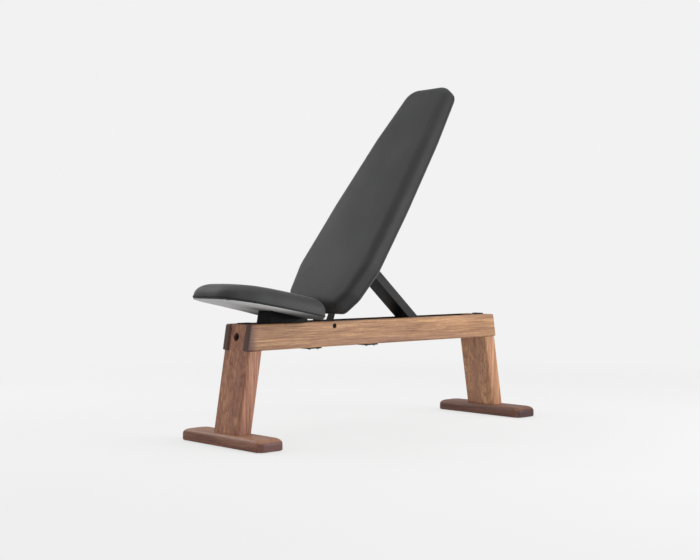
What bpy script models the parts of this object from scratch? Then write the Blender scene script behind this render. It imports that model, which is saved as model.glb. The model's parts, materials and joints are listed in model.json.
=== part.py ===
"""Adjustable weight bench: a walnut trestle frame with a tilting seat and a strut-propped backrest.

Metres, +Z up. X is across the bench, the seat's nose points to -Y and the rear foot lies at +Y.
The origin is on the floor, under the middle of the bench's overall box.
"""

import math

import bmesh
import bpy
from mathutils import Vector

# ---------------------------------------------------------------- driving dimensions

GAP = 0.0003                  # clearance between two pieces that touch

# wooden frame
RAIL_TOP = 0.378
RAIL_BOTTOM = 0.2957
RAIL_INNER = 0.0390           # half the gap between the two rails
RAIL_OUTER = 0.0654           # half the width over both rails
RAIL_HALF_LENGTH = 0.5721     # at the top edge
LEAN = 0.17                   # outward run of the legs and rail ends for each metre down
RAIL_EDGE = 0.0045            # rounding of the rails' long edges
LEG_SET_BACK = 0.006          # the legs' outer faces stand this far inside the rail ends
LEG_DEPTH = 0.0548
LEG_EDGE = 0.009
FOOT_CENTRE = 0.6011
FOOT_LENGTH = {"front": 0.4140, "rear": 0.4064}
FOOT_WIDTH = 0.1020
FOOT_BOTTOM = 0.0025
FOOT_TOP = 0.0386
FOOT_CORNER = 0.024           # rounding of a foot's four corners, seen from above
FOOT_EDGE_DROP = 0.016        # height of the rounding along a foot's upper edge
FOOT_SIDE_ROUNDING = 0.015    # how far that rounding reaches in from the long sides
FOOT_END_ROUNDING = 0.024     # and from the ends
FOOT_CHAMFER = 0.002          # around the underside
FOOT_BOLT_SINK = 0.012        # depth of the round recess around a foot bolt's head
FOOT_BOLT_RECESS = 0.0100     # radius of that recess
FOOT_BOLT_PILOT = 0.0044
GLIDE_RADIUS = 0.017
GLIDE_SPAN = 0.172            # glide centres from the middle of a foot

# bolts that hold the wood together
LEG_BOLT_HEIGHT = 0.338
LEG_BOLT_ACROSS = -0.008      # the leg bolts stand a little to the left of the middle
LEG_BOLT_RADIUS = 0.004
LEG_BOLT_LENGTH = 0.074
LEG_BOLT_SINK = 0.0085        # depth of the round recess around the bolt's head
LEG_BOLT_RECESS = 0.0135      # radius of that recess
FOOT_BOLT_SPAN = 0.038
FOOT_BOLT_INSET = 0.004       # the foot bolts stand this far inside the foot's middle line
FOOT_BOLT_LENGTH = 0.066
FOOT_BOLT_HEAD = 0.0065
TIE_INNER = 0.484             # inner face of the blocks that tie the rails behind the legs
TIE_BOTTOM = 0.305
TIE_TOP = 0.372

# steel tracks between the rails
TRACK_THICKNESS = 0.0025
TRACK_BOTTOM = 0.300
TRACK_TOP = 0.3787
TRACK_HALF_LENGTH = 0.508
TRACK_OUTER = RAIL_INNER - GAP
TRACK_INNER = TRACK_OUTER - TRACK_THICKNESS
CROSS_PLATE_CENTRES = {"front": -0.298, "rear": -0.043}
CROSS_PLATE_WIDTH = 0.058
CROSS_PLATE_HALF_SPAN = 0.052
CROSS_PLATE_THICKNESS = 0.0045
CROSS_SCREW_ACROSS = 0.0455
CROSS_SCREW_ALONG = 0.018

# backrest, measured along its own board (Y) and square to it (Z) from its axle
BACK_AXLE = Vector((0.0, -0.224, 0.3632))
BACK_TILT = math.radians(53.87)
AXLE_RADIUS = 0.006
RAIL_BORE = 0.0085
PAD_BASE = 0.024              # from the axle to the underside of the backrest's board
BOARD_THICKNESS = 0.012
BOARD_INSET = 0.009           # the leather wraps round the board's edge and under it
BACK_THICKNESS = 0.058
BACK_EDGE = 0.016             # rounding of the padding's upper edge
BACK_THINNING = 0.10          # share of the padding lost at the far end
BACK_CORNERS = [              # half width, distance from the axle, corner radius
    (0.122, 0.027, 0.030),
    (0.158, 0.085, 0.060),
    (0.178, 0.195, 0.160),
    (0.164, 0.450, 0.500),
    (0.136, 0.745, 0.500),
    (0.101, 0.984, 0.046),
]

# strut that props the backrest
STRUT_HINGE = Vector((0.0, 0.2762, 0.004))
STRUT_SLOPE = math.radians(40.93)
STRUT_LENGTH = 0.3826
STRUT_HALF_WIDTH = 0.035
STRUT_HALF_DEPTH = 0.015
STRUT_WALL = 0.0026
STRUT_RATIO = 0.61            # how far the strut turns to the floor for each turn of the backrest
PEG_RADIUS = 0.005
BACK_TRAVEL = (-BACK_TILT, math.radians(25.0))
BRACKET_PLATE = 0.0035        # thickness of the hinge brackets' base plates
TOOTH_PITCH = 0.059
TOOTH_OFFSET = 0.008          # from the resting peg to the middle of the tooth behind it
TOOTH_HEIGHT = 0.006
TOOTH_FRONT = 0.0027
TOOTH_REAR = 0.0060
TOOTH_TIP = 0.0006
SLOT_LOW = 0.0054             # slot edges below and above the peg's path
SLOT_HIGH = 0.0110
SLOT_END = 0.0070             # the slot runs on this far beyond the peg at both ends

# seat, measured from its hinge pin in the same way, with Y to the rear
SEAT_HINGE = Vector((0.0, -0.311, 0.362))
SEAT_TILT = math.radians(11.3)
SEAT_BASE = 0.0252
SEAT_THICKNESS = 0.0565
SEAT_EDGE = 0.040
SEAT_THINNING = 0.32
SEAT_TRAVEL = (-SEAT_TILT, math.radians(8.7))
SEAT_CORNERS = [              # half width, distance ahead of the hinge, corner radius
    (0.172, 0.0315, 0.055),
    (0.171, 0.115, 0.200),
    (0.158, 0.225, 0.300),
    (0.141, 0.305, 0.200),
    (0.093, 0.403, 0.085),
]
CARRIER_FRONT = 0.160
CARRIER_DEPTH = 0.046
CARRIER_BOSS = 0.020          # rounding around the hinge pin
CARRIER_WALL = 0.003
CARRIER_HALF_WIDTH = 0.0350
STOP_RADIUS = 0.058           # from the hinge pin to the stop pin
STOP_ANGLE = math.radians(-11.0)
STOP_PIN_RADIUS = 0.004

# rubber pads on top of the legs' tongues: half width, half depth, height, middle from the outer face
BUMPERS = {
    "front": (0.0240, 0.0220, 0.0036, 0.0300),
    "rear": (0.0200, 0.0085, 0.0036, 0.0100),
}

# ---------------------------------------------------------------- scene and materials


def clear_scene():
    for obj in list(bpy.data.objects):
        bpy.data.objects.remove(obj)


def material(name, colour, roughness, metallic=0.0):
    found = bpy.data.materials.get(name)
    if found:
        return found
    made = bpy.data.materials.new(name)
    made.use_nodes = True
    shader = made.node_tree.nodes["Principled BSDF"]
    shader.inputs["Base Color"].default_value = (*colour, 1.0)
    shader.inputs["Roughness"].default_value = roughness
    shader.inputs["Metallic"].default_value = metallic
    return made


def walnut(shade):
    tones = {
        "rail": (0.36, 0.20, 0.115),
        "leg": (0.25, 0.125, 0.080),
        "foot": (0.15, 0.068, 0.045),
    }
    return material("walnut_" + shade, tones[shade], 0.45)


def steel():
    return material("black_steel", (0.022, 0.022, 0.024), 0.42, 0.6)


def zinc():
    return material("fastener_steel", (0.30, 0.30, 0.31), 0.32, 1.0)


def leather():
    return material("leather", (0.062, 0.064, 0.068), 0.55)


def lining():
    return material("underside_lining", (0.26, 0.26, 0.265), 0.85)


def rubber():
    return material("rubber", (0.02, 0.02, 0.02), 0.85)


def nylon():
    return material("nylon", (0.05, 0.05, 0.052), 0.6)


# ---------------------------------------------------------------- outlines


def fillet(corners, steps):
    """A closed outline through (x, y, radius) corners, each one rounded by an arc."""
    outline = []
    count = len(corners)
    for index, (x, y, radius) in enumerate(corners):
        here = Vector((x, y))
        before = Vector(corners[index - 1][:2]) - here
        after = Vector(corners[(index + 1) % count][:2]) - here
        half = before.angle(after) / 2
        if radius <= 0 or half > math.radians(89.9):
            outline.extend([here] * (steps + 1) if radius > 0 else [here])
            continue
        limit = 0.48 * min(before.length, after.length)
        reach = min(radius / math.tan(half), limit)
        arc_radius = reach * math.tan(half)
        inward = (before.normalized() + after.normalized()).normalized()
        centre = here + inward * (arc_radius / math.sin(half))
        start = here + before.normalized() * reach - centre
        end = here + after.normalized() * reach - centre
        sweep = start.angle_signed(end)
        first = math.atan2(start.y, start.x)
        for step in range(steps + 1):
            angle = first - sweep * step / steps
            outline.append(centre + arc_radius * Vector((math.cos(angle), math.sin(angle))))
    return outline


def circle(centre_y, centre_z, radius, sides=24):
    turn = 2 * math.pi / sides
    return [
        Vector((centre_y + radius * math.cos(k * turn), centre_z + radius * math.sin(k * turn)))
        for k in range(sides)
    ]


def box_outline(y0, y1, z0, z1):
    return [Vector((y0, z0)), Vector((y1, z0)), Vector((y1, z1)), Vector((y0, z1))]


def pad_outline(corners, inset, steps=5):
    """A pad's outline from the corners of one half, drawn in by an even inset."""
    first = corners[0][1]
    last = corners[-1][1]
    side = []
    for half_width, along, radius in corners:
        shift = inset if along == first else -inset if along == last else 0.0
        side.append((half_width - inset, along + shift, max(radius - inset, radius * 0.3)))
    mirrored = [(-half_width, along, radius) for half_width, along, radius in reversed(side)]
    return fillet(side + mirrored, steps)


# ---------------------------------------------------------------- solids


def add_object(name, bm, look, parent=None):
    bmesh.ops.recalc_face_normals(bm, faces=bm.faces)
    mesh = bpy.data.meshes.new(name)
    bm.to_mesh(mesh)
    bm.free()
    mesh.materials.append(look)
    obj = bpy.data.objects.new(name, mesh)
    bpy.context.scene.collection.objects.link(obj)
    obj.parent = parent
    return obj


def smooth(obj, angle=35.0):
    obj.data.shade_smooth()
    obj.data.set_sharp_from_angle(angle=math.radians(angle))
    return obj


def empty(name, parent, location=(0.0, 0.0, 0.0), turn=0.0):
    obj = bpy.data.objects.new(name, None)
    obj.empty_display_size = 0.05
    bpy.context.scene.collection.objects.link(obj)
    obj.parent = parent
    obj.location = location
    obj.rotation_euler.x = turn
    return obj


def prism(outline, x0, x1, holes=()):
    """A plate with an outline in the YZ plane, with holes right through, between two X faces."""
    bm = bmesh.new()
    edges = []
    for loop in (outline, *holes):
        verts = [bm.verts.new((x0, point.x, point.y)) for point in loop]
        edges += [bm.edges.new((verts[k - 1], verts[k])) for k in range(len(verts))]
    bmesh.ops.triangle_fill(bm, use_beauty=True, edges=edges, normal=(1.0, 0.0, 0.0))
    side = bmesh.ops.extrude_face_region(bm, geom=list(bm.faces))
    moved = [item for item in side["geom"] if isinstance(item, bmesh.types.BMVert)]
    bmesh.ops.translate(bm, verts=moved, vec=(x1 - x0, 0.0, 0.0))
    return bm


def block(low, high):
    outline = box_outline(low[1], high[1], low[2], high[2])
    return prism(outline, low[0], high[0])


def loft(rings, crown=None):
    """A closed solid through rings of equal count. The last ring may close on a crown point."""
    bm = bmesh.new()
    made = [[bm.verts.new(point) for point in ring] for ring in rings]
    count = len(rings[0])
    for lower, upper in zip(made, made[1:]):
        for k in range(count):
            bm.faces.new((lower[k - 1], lower[k], upper[k], upper[k - 1]))
    bm.faces.new(made[0])
    if crown is None:
        bm.faces.new(made[-1])
    else:
        top = bm.verts.new(crown)
        for k in range(count):
            bm.faces.new((made[-1][k - 1], made[-1][k], top))
    return bm


def ring(radius, height, sides, hexagonal=False):
    """Points around the Z axis. A hexagonal ring has its flats at the given radius."""
    points = []
    for k in range(sides):
        angle = 2 * math.pi * k / sides
        reach = radius
        if hexagonal:
            off_flat = (angle + math.pi / 6) % (math.pi / 3) - math.pi / 6
            reach = radius / math.cos(off_flat)
        points.append(Vector((reach * math.cos(angle), reach * math.sin(angle), height)))
    return points


def turned(levels, sides=18):
    """A round solid along Z from (radius, height) levels."""
    return loft([ring(radius, height, sides) for radius, height in levels])


def tube(outer, inner, low, high, sides=24):
    """A sleeve along Z."""
    bm = bmesh.new()
    levels = [(outer, low), (outer, high), (inner, high), (inner, low)]
    rings = []
    for radius, height in levels:
        rings.append([bm.verts.new(point) for point in ring(radius, height, sides)])
    for index in range(4):
        lower, upper = rings[index], rings[(index + 1) % 4]
        for k in range(sides):
            bm.faces.new((lower[k - 1], lower[k], upper[k], upper[k - 1]))
    return bm


def socket_screw(head_radius, head_height, shank_radius, length, key, sides=12):
    """A screw with its head up on Z = 0, a hexagonal key socket and its shank below."""
    rim = 0.12 * head_height
    rings = [
        ring(shank_radius * 0.6, -length, sides),
        ring(shank_radius, -length + shank_radius * 0.6, sides),
        ring(shank_radius, 0.0, sides),
        ring(head_radius, 0.0, sides),
        ring(head_radius, head_height - rim, sides),
        ring(head_radius - rim, head_height, sides),
        ring(key, head_height, sides, hexagonal=True),
        ring(key, head_height * 0.45, sides, hexagonal=True),
    ]
    return loft(rings)


def place(obj, location, x_turn=0.0, y_turn=0.0):
    obj.location = location
    obj.rotation_euler = (x_turn, y_turn, 0.0)
    return obj


def round_edges(obj, width, segments=2):
    bevel = obj.modifiers.new("rounded edges", "BEVEL")
    bevel.width = width
    bevel.segments = segments
    bevel.limit_method = "ANGLE"
    bevel.angle_limit = math.radians(40)
    return obj


def combine(obj, operation, bm, look, name, parent):
    """Add to or cut from an object with a helper solid that isn't a piece itself."""
    helper = add_object(name, bm, look, parent)
    helper.hide_render = True
    helper.display_type = "WIRE"
    change = obj.modifiers.new(name, "BOOLEAN")
    change.operation = operation
    change.solver = "EXACT"
    change.object = helper
    return helper


# ---------------------------------------------------------------- wooden frame


def build_rail(root, side):
    name = "right" if side > 0 else "left"
    spread = LEAN * (RAIL_TOP - RAIL_BOTTOM)
    outline = [
        Vector((-RAIL_HALF_LENGTH - spread, RAIL_BOTTOM)),
        Vector((RAIL_HALF_LENGTH + spread, RAIL_BOTTOM)),
        Vector((RAIL_HALF_LENGTH, RAIL_TOP)),
        Vector((-RAIL_HALF_LENGTH, RAIL_TOP)),
    ]
    body = prism(outline, side * RAIL_INNER, side * RAIL_OUTER)
    rail = add_object(name + "_rail", body, walnut("rail"), root)
    round_edges(rail, RAIL_EDGE)
    reach = RAIL_OUTER + 0.010
    bore = prism(circle(BACK_AXLE.y, BACK_AXLE.z, RAIL_BORE), side * 0.030, side * reach)
    combine(rail, "DIFFERENCE", bore, walnut("rail"), name + "_rail_bore", root)
    for end, centre in CROSS_PLATE_CENTRES.items():
        for along in (-CROSS_SCREW_ALONG, CROSS_SCREW_ALONG):
            hole = turned([(0.0025, RAIL_BOTTOM - 0.010), (0.0025, RAIL_BOTTOM + 0.021)], 12)
            label = f"{name}_rail_{end}_pilot_{'rear' if along > 0 else 'front'}"
            cutter = combine(rail, "DIFFERENCE", hole, walnut("rail"), label, root)
            cutter.location = (side * CROSS_SCREW_ACROSS, centre + along, 0.0)


def leg_outer_face(end, height):
    """Y of a leg's outer face. end is -1 at the front and +1 at the rear."""
    return end * (RAIL_HALF_LENGTH - LEG_SET_BACK + LEAN * (RAIL_TOP - height))


def leg_section(end, height):
    """A leg's horizontal section: two shoulders and, between them, the four tongue corners."""
    outer = leg_outer_face(end, height)
    inner = outer - end * LEG_DEPTH
    tongue = RAIL_INNER - GAP
    half = RAIL_OUTER - GAP
    shoulder = []
    for y, square in ((outer, -1), (inner, 1)):
        centre_y = y + square * end * LEG_EDGE
        for step in range(5):
            angle = math.radians(22.5) * step
            across = math.sin(angle) if square < 0 else math.cos(angle)
            along = math.cos(angle) if square < 0 else math.sin(angle)
            x = half - LEG_EDGE + LEG_EDGE * across
            shoulder.append((x, centre_y - square * end * LEG_EDGE * along))
    right = [(tongue, outer), *shoulder, (tongue, inner)]
    left = [(-x, y) for x, y in reversed(right)]
    return [Vector((x, y, height)) for x, y in right + left]


def build_leg(root, end):
    name = "rear" if end > 0 else "front"
    bm = bmesh.new()
    shoulder_height = RAIL_BOTTOM - GAP
    low = [bm.verts.new(point) for point in leg_section(end, FOOT_TOP + GAP)]
    high = [bm.verts.new(point) for point in leg_section(end, shoulder_height)]
    count = len(low)
    half = count // 2
    for k in range(count):
        bm.faces.new((low[k - 1], low[k], high[k], high[k - 1]))
    bm.faces.new(low)
    bm.faces.new(high[:half])
    bm.faces.new(high[half:])
    corners = [high[0], high[half - 1], high[half], high[-1]]
    top = leg_section(end, RAIL_TOP)
    tips = [bm.verts.new(top[index]) for index in (0, half - 1, half, -1)]
    for k in range(4):
        bm.faces.new((corners[k - 1], corners[k], tips[k], tips[k - 1]))
    bm.faces.new(tips)
    leg = add_object(name + "_leg", bm, walnut("leg"), root)

    bore = turned(
        [
            (LEG_BOLT_RADIUS + 0.0004, -LEG_DEPTH - 0.020),
            (LEG_BOLT_RADIUS + 0.0004, -LEG_BOLT_SINK),
            (LEG_BOLT_RECESS, -LEG_BOLT_SINK),
            (LEG_BOLT_RECESS, 0.010),
        ],
        24,
    )
    cutter = combine(leg, "DIFFERENCE", bore, walnut("leg"), name + "_leg_bore", root)
    place(cutter, leg_bolt_spot(end), x_turn=bolt_turn(end))
    for side in (-1, 1):
        hole = turned([(FOOT_BOLT_PILOT, 0.020), (FOOT_BOLT_PILOT, 0.082)], 12)
        label = f"{name}_leg_pilot_{'right' if side > 0 else 'left'}"
        cutter = combine(leg, "DIFFERENCE", hole, walnut("leg"), label, root)
        cutter.location = (side * FOOT_BOLT_SPAN, foot_bolt_y(end), 0.0)


def leg_bolt_spot(end):
    """Where a leg bolt's middle line meets the leg's outer face."""
    return Vector((LEG_BOLT_ACROSS, leg_outer_face(end, LEG_BOLT_HEIGHT), LEG_BOLT_HEIGHT))


def bolt_turn(end):
    """Turn about X that carries +Z to a leg's outward face normal."""
    return end * (math.atan(LEAN) - math.radians(90))


def foot_bolt_y(end):
    return end * (FOOT_CENTRE - FOOT_BOLT_INSET)


def build_foot(root, end):
    name = "rear" if end > 0 else "front"
    half_x = FOOT_LENGTH[name] / 2
    half_y = FOOT_WIDTH / 2

    def level(height, from_ends, from_sides):
        x = half_x - from_ends
        y = half_y - from_sides
        corner = FOOT_CORNER - 0.4 * from_sides
        corners = [(-x, -y, corner), (x, -y, corner), (x, y, corner), (-x, y, corner)]
        return [Vector((point.x, point.y, height)) for point in fillet(corners, 6)]

    levels = [(FOOT_BOTTOM, FOOT_CHAMFER, FOOT_CHAMFER), (FOOT_BOTTOM + FOOT_CHAMFER, 0.0, 0.0)]
    steps = 6
    for step in range(steps + 1):
        angle = math.radians(90) * step / steps
        height = FOOT_TOP - FOOT_EDGE_DROP * (1 - math.sin(angle))
        share = 1 - math.cos(angle)
        levels.append((height, FOOT_END_ROUNDING * share, FOOT_SIDE_ROUNDING * share))
    body = loft([level(*item) for item in levels])
    foot = smooth(add_object(name + "_foot", body, walnut("foot"), root))
    foot.location = (0.0, end * FOOT_CENTRE, 0.0)
    bore = [
        (FOOT_BOLT_RECESS, -0.010),
        (FOOT_BOLT_RECESS, FOOT_BOTTOM + FOOT_BOLT_SINK),
        (FOOT_BOLT_PILOT, FOOT_BOTTOM + FOOT_BOLT_SINK),
        (FOOT_BOLT_PILOT, FOOT_TOP + 0.020),
    ]
    for side in (-1, 1):
        label = f"{name}_foot_bore_{'right' if side > 0 else 'left'}"
        cutter = combine(foot, "DIFFERENCE", turned(bore), walnut("foot"), label, root)
        cutter.location = (side * FOOT_BOLT_SPAN, foot_bolt_y(end), 0.0)


def build_foot_fittings(root, end):
    name = "rear" if end > 0 else "front"
    for side in (-1, 1):
        where = "right" if side > 0 else "left"
        levels = [(GLIDE_RADIUS - 0.001, 0.0), (GLIDE_RADIUS, 0.0008), (GLIDE_RADIUS, FOOT_BOTTOM - GAP)]
        piece = smooth(add_object(f"{name}_{where}_glide", turned(levels, 24), rubber(), root))
        piece.location = (side * GLIDE_SPAN, end * FOOT_CENTRE, 0.0)
        bolt = socket_screw(0.0080, FOOT_BOLT_HEAD, 0.0040, FOOT_BOLT_LENGTH - FOOT_BOLT_HEAD, 0.0030)
        piece = smooth(add_object(f"{name}_{where}_foot_bolt", bolt, zinc(), root))
        head = FOOT_BOTTOM + FOOT_BOLT_SINK - GAP
        place(piece, (side * FOOT_BOLT_SPAN, foot_bolt_y(end), head), x_turn=math.pi)


def build_tie_block(root, end):
    name = "rear" if end > 0 else "front"
    half = TRACK_INNER - GAP

    def back_face(height):
        return leg_outer_face(end, height) - end * (LEG_DEPTH + GAP)

    outline = [
        Vector((end * TIE_INNER, TIE_BOTTOM)),
        Vector((back_face(TIE_BOTTOM), TIE_BOTTOM)),
        Vector((back_face(TIE_TOP), TIE_TOP)),
        Vector((end * TIE_INNER, TIE_TOP)),
    ]
    tie = add_object(name + "_tie_block", prism(outline, -half, half), walnut("foot"), root)
    radius = LEG_BOLT_RADIUS + 0.0004
    bore = turned([(radius, -0.130), (radius, -0.030)], 24)
    cutter = combine(tie, "DIFFERENCE", bore, walnut("foot"), name + "_tie_bore", root)
    place(cutter, leg_bolt_spot(end), x_turn=bolt_turn(end))

    bolt = socket_screw(0.0095, 0.0050, LEG_BOLT_RADIUS, LEG_BOLT_LENGTH, 0.0032, 18)
    piece = smooth(add_object(name + "_leg_bolt", bolt, steel(), root))
    outward = Vector((0.0, end * math.cos(math.atan(LEAN)), math.sin(math.atan(LEAN))))
    seat = leg_bolt_spot(end) - outward * (LEG_BOLT_SINK - GAP)
    place(piece, seat, x_turn=bolt_turn(end))


def build_cross_plate(root, name, centre):
    top = RAIL_BOTTOM - GAP
    half = CROSS_PLATE_WIDTH / 2
    low = (-CROSS_PLATE_HALF_SPAN, centre - half, top - CROSS_PLATE_THICKNESS)
    high = (CROSS_PLATE_HALF_SPAN, centre + half, top)
    plate = add_object(name + "_cross_plate", block(low, high), steel(), root)
    for side in (-1, 1):
        for along in (-1, 1):
            where = f"{'right' if side > 0 else 'left'}_{'rear' if along > 0 else 'front'}"
            spot = (side * CROSS_SCREW_ACROSS, centre + along * CROSS_SCREW_ALONG, 0.0)
            hole = turned([(0.0027, 0.280), (0.0027, 0.300)], 12)
            cutter = combine(plate, "DIFFERENCE", hole, steel(), f"{name}_cross_hole_{where}", root)
            cutter.location = spot
            screw = socket_screw(0.0045, 0.0026, 0.0022, 0.022, 0.0017)
            piece = smooth(add_object(f"{name}_cross_screw_{where}", screw, zinc(), root))
            height = top - CROSS_PLATE_THICKNESS - GAP
            place(piece, (spot[0], spot[1], height), x_turn=math.pi)


# ---------------------------------------------------------------- steel tracks


def strut_foot(turn):
    """Y and Z of the strut's peg when the backrest has turned away from its resting tilt."""
    tilt = BACK_TILT + turn
    slope = STRUT_SLOPE + STRUT_RATIO * turn
    y = BACK_AXLE.y + STRUT_HINGE.y * math.cos(tilt) - STRUT_HINGE.z * math.sin(tilt)
    z = BACK_AXLE.z + STRUT_HINGE.y * math.sin(tilt) + STRUT_HINGE.z * math.cos(tilt)
    return Vector((y + STRUT_LENGTH * math.cos(slope), z - STRUT_LENGTH * math.sin(slope)))


def peg_turn(y):
    """The backrest's turn from rest that puts the peg at a place along the track, by halving."""
    low, high = BACK_TRAVEL
    for _ in range(40):
        middle = (low + high) / 2
        if strut_foot(middle).x > y:
            low = middle
        else:
            high = middle
    return (low + high) / 2


def slot_point(turn, rise, beyond=0.0):
    """A point off the peg's path: rise is square to the path, beyond runs along it to the rear."""
    step = math.radians(0.5)
    along = (strut_foot(turn - step) - strut_foot(turn + step)).normalized()
    square = Vector((-along.y, along.x))
    return strut_foot(turn) + beyond * along + rise * square


def rack_slot():
    """The long slot that guides the peg, with a tooth behind each place where it can rest."""
    flat, steep = BACK_TRAVEL
    start = strut_foot(steep).x
    stop = strut_foot(flat).x
    rest = strut_foot(0.0).x + TOOTH_OFFSET
    first = math.ceil((start + 0.005 - rest) / TOOTH_PITCH)
    last = math.floor((stop - 0.009 - rest) / TOOTH_PITCH)
    lower = []
    for index in range(first, last + 1):
        tooth = rest + index * TOOTH_PITCH
        if tooth - TOOTH_PITCH / 2 > start:
            lower.append((tooth - TOOTH_PITCH / 2 + TOOTH_REAR / 2, 0.0))
        lower.append((tooth - TOOTH_FRONT, 0.0))
        lower.append((tooth - TOOTH_FRONT, TOOTH_HEIGHT))
        lower.append((tooth + TOOTH_TIP, TOOTH_HEIGHT))
        lower.append((tooth + TOOTH_REAR, 0.0))
    outline = [slot_point(steep, -SLOT_LOW, -SLOT_END)]
    outline += [slot_point(peg_turn(y), rise - SLOT_LOW) for y, rise in lower]
    after_teeth = peg_turn(lower[-1][0])
    steps = 6
    for step in range(1, steps):
        outline.append(slot_point(after_teeth + (flat - after_teeth) * step / steps, -SLOT_LOW))
    outline.append(slot_point(flat, -SLOT_LOW, SLOT_END))
    outline.append(slot_point(flat, SLOT_HIGH, SLOT_END))
    steps = 18
    for step in range(1, steps):
        outline.append(slot_point(flat + (steep - flat) * step / steps, SLOT_HIGH))
    outline.append(slot_point(steep, SLOT_HIGH, -SLOT_END))
    return outline


def stop_pin_place():
    angle = SEAT_TILT + STOP_ANGLE
    return SEAT_HINGE + STOP_RADIUS * Vector((0.0, -math.cos(angle), math.sin(angle)))


def build_track(root, side):
    name = "right" if side > 0 else "left"
    stop_pin = stop_pin_place()
    holes = [
        circle(BACK_AXLE.y, BACK_AXLE.z, AXLE_RADIUS + 0.0005),
        circle(SEAT_HINGE.y, SEAT_HINGE.z, 0.0054),
        circle(stop_pin.y, stop_pin.z, STOP_PIN_RADIUS + 0.0004, 18),
        rack_slot(),
    ]
    outline = box_outline(-TRACK_HALF_LENGTH, TRACK_HALF_LENGTH, TRACK_BOTTOM, TRACK_TOP)
    plate = prism(outline, side * TRACK_INNER, side * TRACK_OUTER, holes)
    add_object(name + "_track_plate", plate, steel(), root)


def build_axle(root):
    build_cross_pin("backrest_axle", AXLE_RADIUS, 0.060, BACK_AXLE, root)
    for side in (-1, 1):
        where = "right" if side > 0 else "left"
        sleeve = tube(RAIL_BORE - GAP, AXLE_RADIUS + GAP, RAIL_INNER + GAP, 0.0570)
        bush = smooth(add_object(where + "_axle_bush", sleeve, nylon(), root))
        place(bush, BACK_AXLE, y_turn=side * math.radians(90))
        rings = [
            ring(0.0078, 0.0603, 18),
            ring(0.0080, 0.0606, 18),
            ring(0.0080, 0.0624, 18),
            ring(0.0074, 0.0630, 18),
            ring(0.0032, 0.0630, 18, hexagonal=True),
            ring(0.0032, 0.0612, 18, hexagonal=True),
        ]
        cap = smooth(add_object(where + "_axle_cap", loft(rings), steel(), root))
        place(cap, BACK_AXLE, y_turn=side * math.radians(90))


def build_cross_pin(name, radius, half_length, centre, parent):
    chamfer = 0.0008
    levels = [
        (radius - chamfer, -half_length),
        (radius, -half_length + chamfer),
        (radius, half_length - chamfer),
        (radius - chamfer, half_length),
    ]
    pin = smooth(add_object(name, turned(levels, 24), zinc(), parent))
    place(pin, centre, y_turn=math.radians(90))


def build_bumper(root, end):
    name = "rear" if end > 0 else "front"
    half_width, half_depth, height, set_back = BUMPERS[name]
    centre = leg_outer_face(end, RAIL_TOP) - end * set_back
    low = (-half_width, centre - half_depth, RAIL_TOP + GAP)
    high = (half_width, centre + half_depth, RAIL_TOP + height)
    round_edges(add_object(name + "_bumper", block(low, high), rubber(), root), 0.0008)


# ---------------------------------------------------------------- pads


def pad_board(name, corners, base, direction, parent):
    """A flat board. direction is +1 when the pad runs to +Y of its hinge, else -1."""
    outline = pad_outline(corners, BOARD_INSET)
    rings = []
    for height, inset in ((0.0, 0.0015), (0.0015, 0.0), (BOARD_THICKNESS, 0.0)):
        loop = pad_outline(corners, BOARD_INSET + inset) if inset else outline
        rings.append([Vector((point.x, direction * point.y, base + height)) for point in loop])
    return smooth(add_object(name, loft(rings), lining(), parent))


def pad_cushion(name, corners, base, thickness, edge, thinning, direction, parent):
    """The padded top. It wraps the board's edge and ends level with the board's underside."""
    ceiling = base + BOARD_THICKNESS + GAP
    top = base + thickness
    recess = BOARD_INSET - GAP
    levels = [(ceiling, recess), (base, recess), (base, 0.0030), (base + 0.0040, 0.0)]
    levels.append((top - edge, 0.0))
    for step in range(1, 6):
        angle = math.radians(90) * step / 5
        levels.append((top - edge + edge * math.sin(angle), edge * (1 - math.cos(angle))))
    start, stop = corners[0][1], corners[-1][1]
    middle = (start + stop) / 2

    def lift(height, along):
        """Thin the pad gently towards its far end."""
        if height <= ceiling:
            return height
        share = max(0.0, (along - middle) / (stop - middle))
        return ceiling + (height - ceiling) * (1 - thinning * share**3)

    rings = []
    for height, inset in levels:
        loop = pad_outline(corners, inset)
        rings.append([Vector((point.x, direction * point.y, lift(height, point.y))) for point in loop])
    rim = pad_outline(corners, edge)
    for scale, rise in ((0.80, 0.0022), (0.50, 0.0036)):
        loop = []
        for point in rim:
            along = middle + (point.y - middle) * scale
            loop.append(Vector((point.x * scale, direction * along, lift(top + rise, along))))
        rings.append(loop)
    crown = Vector((0.0, direction * middle, lift(top + 0.0042, middle)))
    return smooth(add_object(name, loft(rings, crown), leather(), parent), 50)


# ---------------------------------------------------------------- backrest and strut


def ear_outline(y0, y1, top, centre, radius):
    """A hanging ear: a straight edge from y0 to y1 at the top and a round end below it."""
    outline = [Vector((y1, top)), Vector((y0, top))]
    start = math.atan2(top - centre[1], y0 - centre[0])
    reach = math.hypot(top - centre[1], y0 - centre[0])
    first = start + math.acos(radius / reach)
    end = math.atan2(top - centre[1], y1 - centre[0])
    span = math.hypot(top - centre[1], y1 - centre[0])
    last = end - math.acos(radius / span) + 2 * math.pi
    if last - first > 2 * math.pi:
        last -= 2 * math.pi
    steps = 12
    for k in range(steps + 1):
        angle = first + (last - first) * k / steps
        y = centre[0] + radius * math.cos(angle)
        outline.append(Vector((y, centre[1] + radius * math.sin(angle))))
    return outline


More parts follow.
